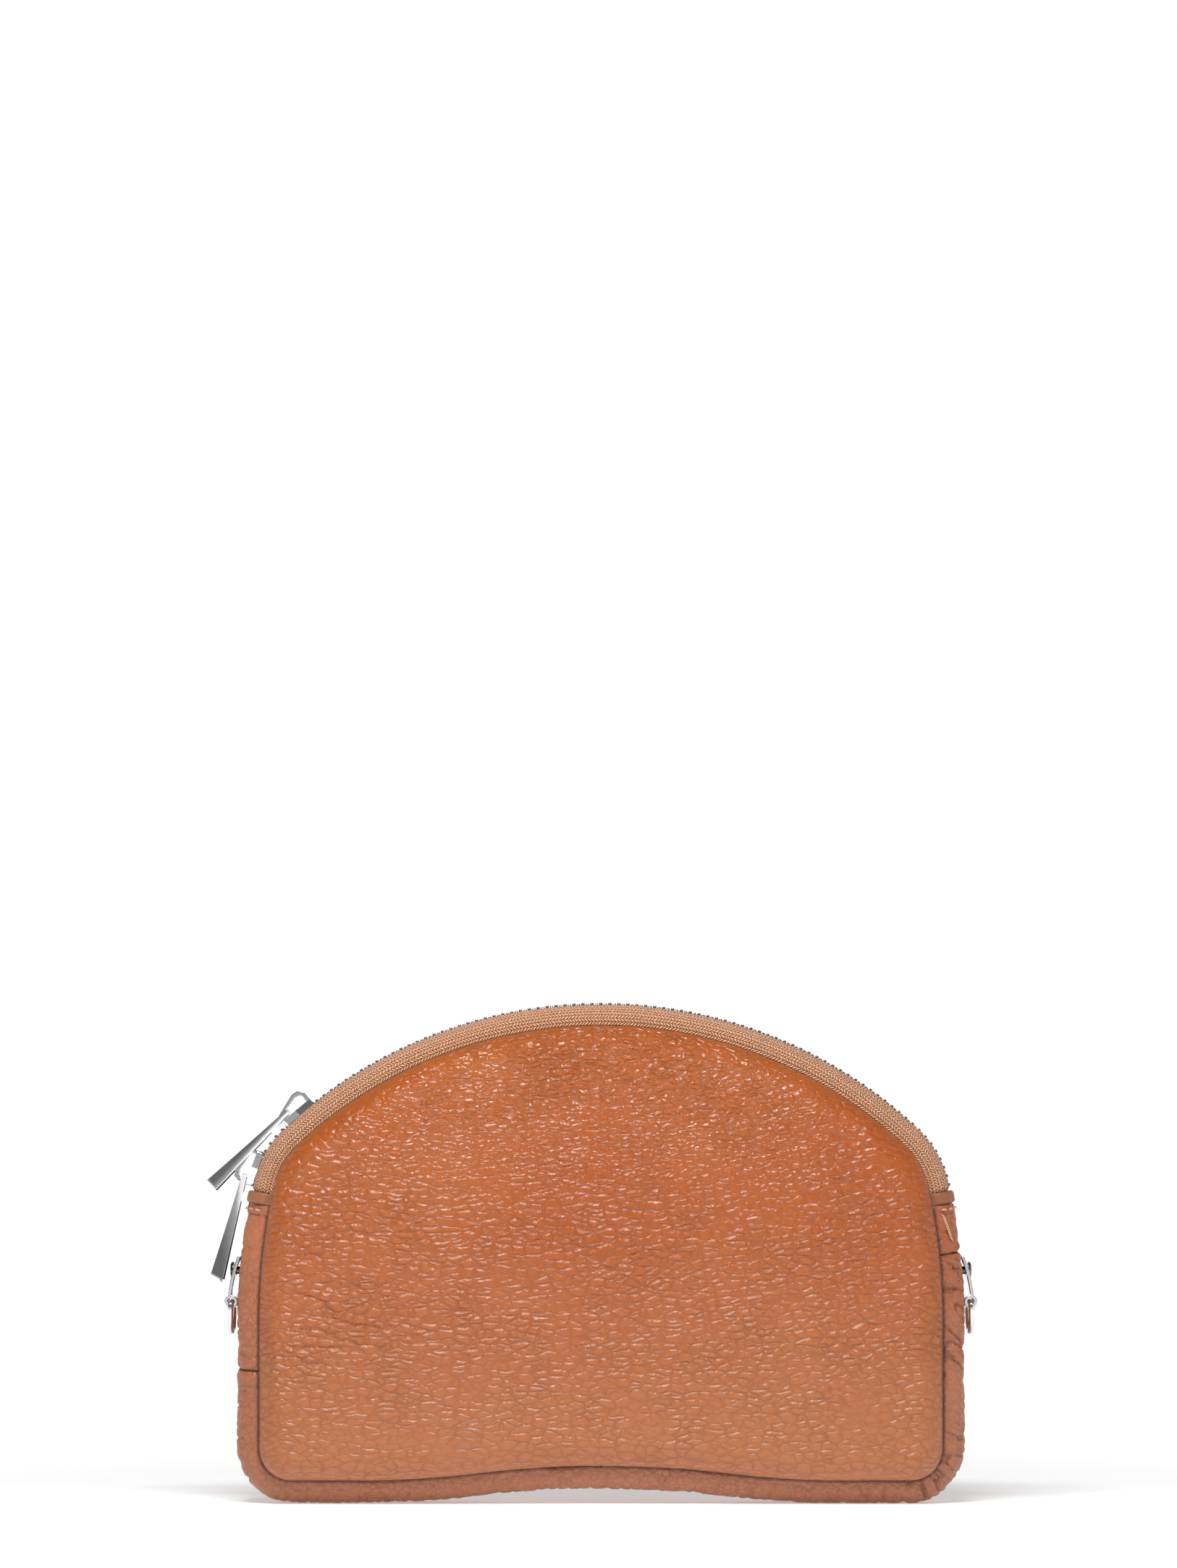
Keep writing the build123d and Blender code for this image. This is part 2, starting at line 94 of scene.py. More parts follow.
def math_node(tree, operation, a, b=0.0, c=0.0, clamp=False):
    made = node(tree, "ShaderNodeMath", [(0, a), (1, b), (2, c)], operation=operation, use_clamp=clamp)
    return made.outputs[0]


def vector_math(tree, operation, a, b=(0, 0, 0)):
    return node(tree, "ShaderNodeVectorMath", [(0, a), (1, b)], operation=operation).outputs


def mix_colour(tree, share, a, b):
    made = node(tree, "ShaderNodeMix", data_type="RGBA")
    for key, value in ((0, share), (6, a), (7, b)):
        if isinstance(value, bpy.types.NodeSocket):
            tree.links.new(value, made.inputs[key])
        else:
            made.inputs[key].default_value = value
    return made.outputs[2]


def ramp(tree, share, low, high, to_low=0.0, to_high=1.0):
    pairs = [(0, share), (1, low), (2, high), (3, to_low), (4, to_high)]
    return node(tree, "ShaderNodeMapRange", pairs, clamp=True).outputs[0]


def soft_ramp(tree, share, low, high):
    pairs = [(0, share), (1, low), (2, high), (3, 0.0), (4, 1.0)]
    return node(tree, "ShaderNodeMapRange", pairs, clamp=True, interpolation_type="SMOOTHSTEP").outputs[0]


def blend_values(tree, share, a, b):
    """a where share is 0, b where it is 1."""
    return math_node(tree, "MULTIPLY_ADD", math_node(tree, "SUBTRACT", b, a), share, a)


def rgb(red, green, blue):
    """Linear colour from 0..255 display values."""
    parts = [value / 255 for value in (red, green, blue)]
    return [p / 12.92 if p <= 0.04045 else ((p + 0.055) / 1.055) ** 2.4 for p in parts] + [1.0]


def new_material(name):
    made = bpy.data.materials.new(name)
    made.use_nodes = True
    tree = made.node_tree
    return made, tree, tree.nodes["Principled BSDF"]


def place(tree, stretch=(1, 1, 1)):
    """The piece's own coordinates, in metres, stretched."""
    coords = tree.nodes.new("ShaderNodeTexCoord").outputs["Object"]
    return node(tree, "ShaderNodeMapping", [("Vector", coords), ("Scale", stretch)]).outputs[0]


def grain_noise(tree, where, scale, detail=3.0, rough=0.55):
    pairs = [("Vector", where), ("Scale", scale), ("Detail", detail), ("Roughness", rough)]
    return node(tree, "ShaderNodeTexNoise", pairs).outputs["Fac"]


def bump(tree, height, distance, strength=1.0, under=None):
    pairs = [("Height", height), ("Distance", distance), ("Strength", strength)]
    if under is not None:
        pairs.append(("Normal", under))
    return node(tree, "ShaderNodeBump", pairs).outputs[0]


def attribute(tree, name):
    return node(tree, "ShaderNodeAttribute", attribute_name=name, attribute_type="GEOMETRY")


floor_material, tree, shader = new_material("studio_floor")
speck = grain_noise(tree, place(tree), 40.0)
floor_tone = mix_colour(tree, speck, (0.90, 0.90, 0.90, 1), (0.94, 0.94, 0.94, 1))
tree.links.new(floor_tone, shader.inputs["Base Color"])
shader.inputs["Roughness"].default_value = 0.6
shader.inputs["Specular IOR Level"].default_value = 0.2
shader.inputs["Emission Color"].default_value = (1, 1, 1, 1)
# Painted light: the floor glows, faintly under the pouch and more further off, so it stays white where the
# lamps fall off; the glow also lights the pouch from below.
reach = vector_math(tree, "LENGTH", place(tree))["Value"]
tree.links.new(ramp(tree, reach, 0.2, 0.6, 0.33, 0.85), shader.inputs["Emission Strength"])
floor_mesh = bpy.data.meshes.new("floor")
floor_mesh.from_pydata([(-6, -6, 0), (6, -6, 0), (6, 6, 0), (-6, 6, 0)], [], [(0, 1, 2, 3)])
floor = link("floor", floor_mesh)
floor.location.z = -0.0002
floor_mesh.materials.append(floor_material)

world = bpy.data.worlds.new("studio")
world.use_nodes = True
scene.world = world
sky = world.node_tree
direction = sky.nodes.new("ShaderNodeTexCoord").outputs["Generated"]
compass = node(sky, "ShaderNodeSeparateXYZ", [(0, direction)])
level = math_node(sky, "ABSOLUTE", compass.outputs[2])
behind = ramp(sky, compass.outputs[1], 0.0, 0.5)
tall_glow = ramp(sky, level, 0.28, 0.45, 1.02, 0.20)
low_glow = ramp(sky, level, 0.02, 0.20, 0.42, 0.16)
glow = math_node(sky, "MULTIPLY_ADD", math_node(sky, "SUBTRACT", tall_glow, low_glow), behind, low_glow)
sky.links.new(glow, sky.nodes["Background"].inputs["Strength"])
sky.nodes["Background"].inputs["Color"].default_value = (1, 1, 1, 1)


def soft_light(name, place_at, aim, size, watts):
    lamp = bpy.data.lights.new(name, "AREA")
    lamp.shape = "RECTANGLE"
    lamp.size, lamp.size_y = size
    lamp.energy = watts
    obj = link(name, lamp)
    obj.location = place_at
    obj.rotation_euler = (Vector(aim) - Vector(place_at)).to_track_quat("-Z", "Y").to_euler()
    return obj


soft_light("key", (-0.06, -0.40, 0.58), (0, 0, 0.08), (0.34, 0.09), 4.1)
soft_light("side", (0.95, -0.5, 0.45), (0, 0, 0.07), (0.25, 0.6), 1.0)

# ---------------------------------------------------------------- the outline, in millimetres

# Centre x, centre z, radius, first and last angle from straight up, and which way is outwards.
ARCH_RADIUS = 292.72
ARCH_ANGLE = 6.867
ARCS = (
    (0.0, 9.6, 134.4, 0.0, 43.0, 1),
    (71.2, 85.95, 30.0, 43.0, 78.0, 1),
    (-91.96, 51.27, 196.8, 78.0, 90.0, 1),
    ((104.84, 51.27), (104.84, 16.0)),
    (88.84, 16.0, 16.0, 90.0, 180.0, 1),
    ((88.84, 0.0), (70.0, 0.0)),
    (70.0, ARCH_RADIUS, ARCH_RADIUS, 180.0, 180.0 + ARCH_ANGLE, 1),
    (0.0, 4.2 - ARCH_RADIUS, ARCH_RADIUS, ARCH_ANGLE, 0.0, -1),
)


def outline_table():
    """The right half of the crest from the top to the bottom's middle: length, x, z and outward normal."""
    rows = []
    for arc in ARCS:
        if len(arc) == 2:
            (x0, z0), (x1, z1) = arc
            long = math.hypot(x1 - x0, z1 - z0)
            nx, nz = (z0 - z1) / long, (x1 - x0) / long
            rows += [(x0 + (x1 - x0) * t, z0 + (z1 - z0) * t, nx, nz) for t in np.linspace(0, 1, 40)]
        else:
            cx, cz, radius, start, end, way = arc
            for angle in np.radians(np.linspace(start, end, 200)):
                out = (math.sin(angle), math.cos(angle))
                rows.append((cx + radius * out[0], cz + radius * out[1], way * out[0], way * out[1]))
    table = np.array(rows)
    steps = np.hypot(np.diff(table[:, 0]), np.diff(table[:, 1]))
    keep = np.concatenate([[True], steps > 1e-6])
    table = table[keep]
    length = np.concatenate([[0], np.cumsum(np.hypot(np.diff(table[:, 0]), np.diff(table[:, 1])))])
    return length, table


RIM_LENGTH, RIM = outline_table()
HALF_RIM = RIM_LENGTH[-1]


def rim(s):
    """Crest points and outward normals at s millimetres from the top, right positive."""
    s = np.asarray(s, float)
    s = (s + HALF_RIM) % (2 * HALF_RIM) - HALF_RIM
    side = np.where(s < 0, -1.0, 1.0)
    x, z, nx, nz = (np.interp(np.abs(s), RIM_LENGTH, RIM[:, i]) for i in range(4))
    long = np.hypot(nx, nz)
    return side * x, z, side * nx / long, nz / long


def rim_at(z, side):
    """The s where the crest passes level z on its way down from the top."""
    down = RIM_LENGTH <= RIM_LENGTH[np.argmin(np.abs(RIM[:, 0] - 104.84) + RIM[:, 1])]
    return side * float(np.interp(-z, -RIM[down, 1], RIM_LENGTH[down]))


# ---------------------------------------------------------------- fields


def smooth(t):
    t = np.clip(t, 0, 1)
    return t * t * (3 - 2 * t)


def noise(x, y, seed):
    """Smooth noise from -1 to 1 that changes over about one unit."""
    table = np.random.default_rng(seed).random((256, 256))
    i, j = np.floor(x).astype(int), np.floor(y).astype(int)
    fx, fy = smooth(x - i), smooth(y - j)
    low = table[i % 256, j % 256] * (1 - fx) + table[(i + 1) % 256, j % 256] * fx
    high = table[i % 256, (j + 1) % 256] * (1 - fx) + table[(i + 1) % 256, (j + 1) % 256] * fx
    return 2 * (low * (1 - fy) + high * fy) - 1


def cells(x, y, seed):
    """How far a point is from the border between its two nearest jittered centres, and its cell's tone."""
    tables = np.random.default_rng(seed).random((3, 256, 256))
    i, j = np.floor(x).astype(int), np.floor(y).astype(int)
    first = np.full(x.shape, 9.0)
    second = np.full(x.shape, 9.0)
    tone = np.zeros(x.shape)
    for di in (-1, 0, 1):
        for dj in (-1, 0, 1):
            a, b = (i + di) % 256, (j + dj) % 256
            centre_x = i + di + 0.08 + 0.84 * tables[0, a, b]
            centre_y = j + dj + 0.08 + 0.84 * tables[1, a, b]
            gap = np.hypot(centre_x - x, centre_y - y)
            nearer = gap < first
            second = np.where(nearer, first, np.minimum(second, gap))
            tone = np.where(nearer, tables[2, a, b], tone)
            first = np.where(nearer, gap, first)
    return second - first, tone


def pebbles(x, z, seed, wide=5.0):
    """Leather grain at x, z millimetres: height in millimetres, and how deep in a crease from 0 to 0.3, for
    painted shade.
    """
    tilt = 0.16 * noise(x / 45, z / 45, seed) + 0.06 * noise(x / 18, z / 18, seed + 1)
    u = x + tilt * z * 0.3 + 0.55 * noise(x / 7, z / 6, seed + 2) + 0.35 * noise(x / 2.2, z / 2.0, seed + 3)
    v = z - tilt * x * 0.3 + 0.50 * noise(x / 8, z / 5, seed + 4) + 0.30 * noise(x / 2.2, z / 2.0, seed + 5)
    v = v - 0.0011 * np.clip(z, 0, 150) * np.clip(150 - z, 0, 150)
    gap, tone = cells(u / wide, v / 2.8, seed + 6)
    deep = 0.72 + 0.28 * smooth(0.5 + 0.8 * noise(x / 13, z / 11, seed + 8))
    crease = (1 - smooth(gap / 0.30)) * deep
    dome = smooth(gap / 0.7)
    height = 0.11 * dome * deep + 0.08 * tone * dome
    return height, 0.3 * crease


# ---------------------------------------------------------------- mesh helpers


def finish_mesh(name, points, faces, material, values=None):
    mesh = bpy.data.meshes.new(name)
    mesh.from_pydata(np.asarray(points, float).tolist(), [], faces)
    mesh.update()
    for key, data in (values or {}).items():
        data = np.asarray(data, np.float32)
        kind = "FLOAT" if data.ndim == 1 else "FLOAT_VECTOR"
        layer = mesh.attributes.new(key, kind, "POINT")
        layer.data.foreach_set("value" if data.ndim == 1 else "vector", data.ravel())
    mesh.polygons.foreach_set("use_smooth", [True] * len(mesh.polygons))
    mesh.materials.append(material)
    return link(name, mesh)


def outwards(obj):
    """Turns every face of a closed mesh to look outwards."""
    work = bmesh.new()
    work.from_mesh(obj.data)
    bmesh.ops.recalc_face_normals(work, faces=work.faces)
    work.to_mesh(obj.data)
    work.free()
    return obj


def grid_faces(rows, columns, start=0, closed=False):
    """Quads between rows of points. A closed grid joins each row's last point to its first."""
    count = columns if closed else columns - 1
    faces = []
    for r in range(rows - 1):
        base = start + r * columns
        faces += [
            (base + c, base + (c + 1) % columns, base + columns + (c + 1) % columns, base + columns + c)
            for c in range(count)
        ]
    return faces


# ---------------------------------------------------------------- materials


# Two places where the front leather is rubbed: x, y, z and how far the rubbing reaches, in metres.
SCUFFS = (((-0.042, -0.020, 0.022), 0.013), ((0.094, -0.018, 0.079), 0.006))


def scuffed(tree, where, base):
    """base with faint, grey, slanting scratches near the rubbed places."""
    pairs = [("Vector", where), ("Rotation", (0, 0.7, 0)), ("Scale", (0.25, 1, 1.6))]
    slanting = node(tree, "ShaderNodeMapping", pairs).outputs[0]
    marks = ramp(tree, grain_noise(tree, slanting, 900.0, 3.0, 0.6), 0.56, 0.66, 0.0, 0.6)
    for centre, radius in SCUFFS:
        reach = vector_math(tree, "DISTANCE", where, centre)["Value"]
        near = ramp(tree, reach, 0.35 * radius, radius, 1.0, 0.0)
        base = mix_colour(tree, math_node(tree, "MULTIPLY", marks, near), base, rgb(158, 132, 118))
    return base


def leather(name, colours, cell=(0.0042, 0.0042, 0.0020), rough=0.39, depth=0.00054, lines=0.34):
    """Pigmented, pebbled leather. colours are mid, light, crease and low: near the floor it turns paler with
    painted light from the floor.

    The mesh carries the broad relief; the borders of the single pebbles are bump and a darker tone, painted
    shade in their creases. The crease attribute paints shade into seams, folds and grain creases.
    """
    mid, light, dark, painted_floor_light = colours
    made, tree, shader = new_material(name)
    where = place(tree)
    wander = node(tree, "ShaderNodeTexNoise", [("Vector", where), ("Scale", 260.0), ("Detail", 3.0)])
    wander = vector_math(tree, "SUBTRACT", wander.outputs["Color"], (0.5, 0.5, 0.5))[0]
    wander = vector_math(tree, "MULTIPLY", wander, (0.0030, 0.0030, 0.0019))[0]
    moved = vector_math(tree, "ADD", where, wander)[0]
    sized = node(tree, "ShaderNodeMapping", [("Vector", moved), ("Scale", [1 / c for c in cell])]).outputs[0]
    across, _, height = node(tree, "ShaderNodeSeparateXYZ", [(0, where)]).outputs
    borders = [
        node(
            tree, "ShaderNodeTexVoronoi", [("Vector", sized), ("Scale", scale)], feature="DISTANCE_TO_EDGE"
        ).outputs["Distance"]
        for scale in (1.0, 1.4)
    ]
    tight = math_node(
        tree,
        "MULTIPLY",
        ramp(tree, height, 0.080, 0.118),
        ramp(tree, math_node(tree, "ABSOLUTE", across), 0.045, 0.085, 1.0, 0.0),
    )
    broad = grain_noise(tree, where, 16.0, 3.0)
    mottle = grain_noise(tree, where, 420.0, 3.0)
    patchy = ramp(tree, grain_noise(tree, where, 75.0, 2.0), 0.3, 0.7, 0.45, 1.0)
    lines_wide, lines_tight = (ramp(tree, border, 0.0, 0.11, 1.0, 0.0) for border in borders)
    line = math_node(tree, "MULTIPLY", blend_values(tree, tight, lines_wide, lines_tight), patchy)
    fold = attribute(tree, "crease").outputs["Fac"]
    base = mix_colour(tree, ramp(tree, broad, 0.34, 0.68), mid, light)
    # Painted light: the leather turns paler towards the floor, as if lit by the white floor below.
    base = mix_colour(tree, ramp(tree, height, 0.008, 0.078, 0.85, 0.0), base, painted_floor_light)
    base = mix_colour(tree, ramp(tree, mottle, 0.35, 0.8, 0.0, 0.30), base, light)
    # Painted shade: the pebbles' borders darker, as if shaded in their creases.
    base = mix_colour(tree, math_node(tree, "MULTIPLY", line, lines), base, dark)
    # Painted shade: darker where the crease attribute marks seams, folds and grain creases.
    base = mix_colour(tree, ramp(tree, fold, 0.2, 1.0, 0.0, 0.92), base, rgb(66, 30, 16))
    tree.links.new(scuffed(tree, where, base), shader.inputs["Base Color"])
    worn = math_node(tree, "MULTIPLY_ADD", ramp(tree, mottle, 0.3, 0.75), 0.12, rough - 0.06)
    # The top, where the leather is pulled tightest, is glossier than the rest.
    worn = math_node(tree, "MULTIPLY_ADD", ramp(tree, height, 0.070, 0.112), -0.12, worn)
    tree.links.new(math_node(tree, "MULTIPLY_ADD", line, 0.2, worn), shader.inputs["Roughness"])
    shader.inputs["Specular IOR Level"].default_value = 0.55
    shader.inputs["Sheen Weight"].default_value = 0.05
    shader.inputs["Sheen Roughness"].default_value = 0.4
    dome = blend_values(tree, tight, *(soft_ramp(tree, border, -0.05, 0.34) for border in borders))
    dome = math_node(tree, "MULTIPLY", dome, patchy)
    dome = math_node(tree, "MULTIPLY", dome, ramp(tree, height, 0.008, 0.045, 0.55, 1.0))
    wrinkles = grain_noise(tree, place(tree, (0.8, 1, 1.3)), 1000.0, 3.0, 0.6)
    first = bump(tree, wrinkles, 0.00011, 0.55)
    tree.links.new(bump(tree, dome, depth, 1.0, first), shader.inputs["Normal"])
    return made


def woven(name, base, dark, pitch=0.00112, strand=0.00098, rough=0.75):
    """Herringbone webbing along the weave attribute: x runs along the tape and y across it, in metres."""
    made, tree, shader = new_material(name)
    split = node(tree, "ShaderNodeSeparateXYZ", [(0, attribute(tree, "weave").outputs["Vector"])])
    across = math_node(tree, "DIVIDE", split.outputs[1], pitch)
    column = math_node(tree, "FLOOR", across)
    inside = math_node(tree, "SUBTRACT", math_node(tree, "SUBTRACT", across, column), 0.5)
    way = math_node(tree, "MULTIPLY_ADD", math_node(tree, "PINGPONG", column, 1.0), 2.0, -1.0)
    slant = math_node(tree, "MULTIPLY", math_node(tree, "MULTIPLY", inside, way), 0.95)
    jitter = grain_noise(tree, place(tree), 600.0, 2.0)
    along = math_node(tree, "DIVIDE", split.outputs[0], strand)
    phase = math_node(tree, "ADD", along, slant)
    phase = math_node(tree, "ADD", phase, math_node(tree, "MULTIPLY", jitter, 0.9))
    wave = math_node(tree, "COSINE", math_node(tree, "MULTIPLY", phase, math.tau))
    ridge = math_node(tree, "MULTIPLY_ADD", wave, 0.5, 0.5)
    edge = math_node(tree, "MULTIPLY", math_node(tree, "ABSOLUTE", inside), 2.0)
    flat = math_node(tree, "SUBTRACT", 1.0, math_node(tree, "POWER", edge, 3.0))
    height = math_node(tree, "MULTIPLY", math_node(tree, "POWER", ridge, 0.6), flat)
    fuzz = grain_noise(tree, place(tree), 2600.0, 2.0)
    tone = mix_colour(tree, ramp(tree, height, 0.05, 0.7), dark, base)
    fibre = mix_colour(tree, ramp(tree, fuzz, 0.3, 0.75, 0.0, 0.35), tone, base)
    tree.links.new(fibre, shader.inputs["Base Color"])
    shader.inputs["Roughness"].default_value = rough
    shader.inputs["Sheen Weight"].default_value = 0.25
    shader.inputs["Sheen Roughness"].default_value = 0.5
    soft = bump(tree, fuzz, 0.00003, 0.5)
    tree.links.new(bump(tree, height, 0.0006, 1.0, soft), shader.inputs["Normal"])
    return made


def cloth(name, base, dark, scale, rough=0.85):
    """A plain weave, or a soft felt when its scale is small."""
    made, tree, shader = new_material(name)
    where = place(tree)
    pairs = [("Vector", where), ("Scale", scale), ("Distortion", 0.3), ("Detail", 1.0)]
    warp, weft = (
        node(tree, "ShaderNodeTexWave", pairs, bands_direction=direction).outputs["Fac"] for direction in "XZ"
    )
    weave = math_node(tree, "MULTIPLY", warp, weft)
    fluff = grain_noise(tree, where, 900.0, 3.0)
    height = math_node(tree, "MULTIPLY_ADD", fluff, 0.5, weave)
    tree.links.new(mix_colour(tree, ramp(tree, height, 0.2, 0.9), dark, base), shader.inputs["Base Color"])
    shader.inputs["Roughness"].default_value = rough
    shader.inputs["Sheen Weight"].default_value = 0.2
    tree.links.new(bump(tree, height, 0.00012, 0.7), shader.inputs["Normal"])
    return made


def metal(name, base, rough, worn, scale=300.0):
    """Plated metal with faint smears and handling marks in its gloss."""
    made, tree, shader = new_material(name)
    smear = grain_noise(tree, place(tree, (1, 1, 0.35)), scale, 4.0, 0.6)
    fine = grain_noise(tree, place(tree), 2200.0, 2.0)
    tint = mix_colour(tree, ramp(tree, smear, 0.4, 0.8, 0.0, 0.25), base, worn)
    tree.links.new(tint, shader.inputs["Base Color"])
    shader.inputs["Metallic"].default_value = 1.0
    tree.links.new(ramp(tree, smear, 0.35, 0.8, rough, rough + 0.10), shader.inputs["Roughness"])
    tree.links.new(bump(tree, fine, 0.000006, 0.35), shader.inputs["Normal"])
    return made


# Each leather's third colour is painted shade in its creases, and its fourth is painted light from the floor.
PANEL_LEATHER = leather(
    "pebbled_leather", (rgb(164, 78, 18), rgb(170, 89, 34), rgb(92, 38, 14), rgb(182, 116, 76))
)
GUSSET_LEATHER = leather(
    "gusset_leather",
    (rgb(160, 82, 42), rgb(178, 108, 72), rgb(84, 40, 22), rgb(170, 110, 78)),
    (0.0022, 0.0026, 0.0019),
    0.44,
    0.00026,
    0.30,
)
TAB_LEATHER = leather(
    "tab_leather",
    (rgb(140, 84, 50), rgb(160, 102, 68), rgb(84, 46, 28), rgb(140, 84, 50)),
    (0.0011, 0.0011, 0.0011),
    0.55,
    0.00006,
    0.2,
)
TAPE = woven("zip_tape_weave", rgb(255, 182, 130), rgb(84, 34, 14))
LINING_CLOTH = cloth("lining_cloth", rgb(176, 152, 128), rgb(132, 108, 86), 420.0)
WADDING = cloth("wadding", rgb(245, 243, 240), rgb(225, 222, 216), 60.0, 0.95)
CHROME = metal("chrome", rgb(232, 232, 234), 0.06, rgb(205, 205, 208))
RIVET_METAL = metal("rivet_metal", rgb(120, 116, 112), 0.22, rgb(88, 84, 82))
TEETH_METAL = metal("teeth_metal", rgb(128, 126, 124), 0.24, rgb(84, 82, 80), 500.0)
THREAD = cloth("thread", rgb(236, 190, 158), rgb(190, 132, 100), 900.0, 0.7)


# ---------------------------------------------------------------- panels

SEAM_INSET = 6.6
SEAM_Y = 12.1
UNDER_TAB_Z = 88.0  # under the tabs, where the gusset strips end and the top of each panel's outline starts
TOP_LEFT_S, TOP_RIGHT_S = rim_at(UNDER_TAB_Z, -1), rim_at(UNDER_TAB_Z, 1)
# Lengths of the outline's bottom arch, flat foot and corner. CORNER_S is the middle of the corner.
HALF_ARCH, FLAT_FOOT, CORNER_ARC = 70.2, 18.84, 25.13
CORNER_S = HALF_RIM - HALF_ARCH - FLAT_FOOT - CORNER_ARC / 2


def ring_lengths(columns, rows, inset):
    """s for a closed ring of points: top, right side, bottom and left side, evenly spaced at the inset."""
    stops = []
    for start, end, count in (
        (TOP_LEFT_S, TOP_RIGHT_S, columns),
        (TOP_RIGHT_S, CORNER_S, rows),
        (CORNER_S, 2 * HALF_RIM - CORNER_S, columns),
        (-CORNER_S, TOP_LEFT_S, rows),
    ):
        fine = np.linspace(start, end, 900)
        x, z, nx, nz = rim(fine)
        px, pz = x - nx * inset, z - nz * inset
        far = np.concatenate([[0], np.cumsum(np.hypot(np.diff(px), np.diff(pz)))])
        stops.append(np.interp(np.linspace(0, far[-1], count + 1)[:-1], far, fine))
    return np.concatenate(stops)


def patch(ring_x, ring_z, columns, rows):
    """A smooth grid of (rows + 1) by (columns + 1) points inside a closed ring, its border on the ring."""
    ring = np.stack([ring_x, ring_z], 1)
    loop = np.vstack([ring, ring[:1]])
    top = loop[: columns + 1]
    right = loop[columns : columns + rows + 1]
    bottom = loop[columns + rows : 2 * columns + rows + 1][::-1]
    left = loop[2 * columns + rows :][::-1]
    u = np.linspace(0, 1, columns + 1)[None, :, None]
    v = np.linspace(0, 1, rows + 1)[:, None, None]
    points = (1 - v) * top[None] + v * bottom[None] + (1 - u) * left[:, None] + u * right[:, None]
    points -= (1 - u) * (1 - v) * top[0] + u * (1 - v) * top[-1]
    points -= (1 - u) * v * bottom[0] + u * v * bottom[-1]
    for _ in range(240):
        points[1:-1, 1:-1] = 0.25 * (
            points[:-2, 1:-1] + points[2:, 1:-1] + points[1:-1, :-2] + points[1:-1, 2:]
        )
    return points


def ring_order(columns, rows):
    """Where each ring point stands in the patch's grid, in ring order."""
    wide = columns + 1
    top = [c for c in range(columns)]
    right = [r * wide + columns for r in range(rows)]
    bottom = [rows * wide + columns - c for c in range(columns)]
    left = [(rows - r) * wide for r in range(rows)]
    return top + right + bottom + left


def join_patch(faces, order, ring_start, next_point, columns, rows):
    """Adds a patch's quads, with the ring's points for its border. Returns the grid points that are new."""
    lookup = {grid_at: ring_start + i for i, grid_at in enumerate(order)}
    inside = [i for i in range((columns + 1) * (rows + 1)) if i not in lookup]
    lookup.update({i: next_point + k for k, i in enumerate(inside)})
    wide = columns + 1
    for r in range(rows):
        for c in range(columns):
            a = r * wide + c
            faces.append(tuple(lookup[k] for k in (a, a + 1, a + wide + 1, a + wide)))
    return inside


def rim_distance(x, z, inset, step=1.0):
    """How far points inside are from the outline at an inset."""
    s = np.arange(-HALF_RIM, HALF_RIM, step)
    px, pz, nx, nz = rim(s)
    tree = KDTree(len(s))
    for index, (a, b) in enumerate(zip(px - nx * inset, pz - nz * inset)):
        tree.insert((a, b, 0), index)
    tree.balance()
    return np.array([tree.find((a, b, 0))[2] for a, b in zip(x, z)])


def slack_folds(x, z, seed):
    """Shallow, level creases where a panel's leather is slack: low at the left, and low at the right."""
    left = np.exp(-(((x + 82) / 30) ** 2) - ((z - 58) / 26) ** 2)
    right = 0.5 * np.exp(-(((x - 85) / 26) ** 2) - ((z - 70) / 34) ** 2)
    level = z + 0.10 * x + 1.6 * noise(x / 13, z / 9, seed + 30)
    fold = 1 - np.abs(noise(x / 17, level / 3.1, seed + 31))
    return fold**5 * (left + right)


def swell(x, z, far, seed, crown, slack):
    """How much further than its rolled edge a panel's middle stands out."""
    rise = crown * smooth(far / 42)
    loose = slack * (noise(x / 34 + 3, z / 30, seed + 20) + 0.5 * noise(x / 15, z / 14, seed + 21))
    return rise + loose * smooth(far / 18)


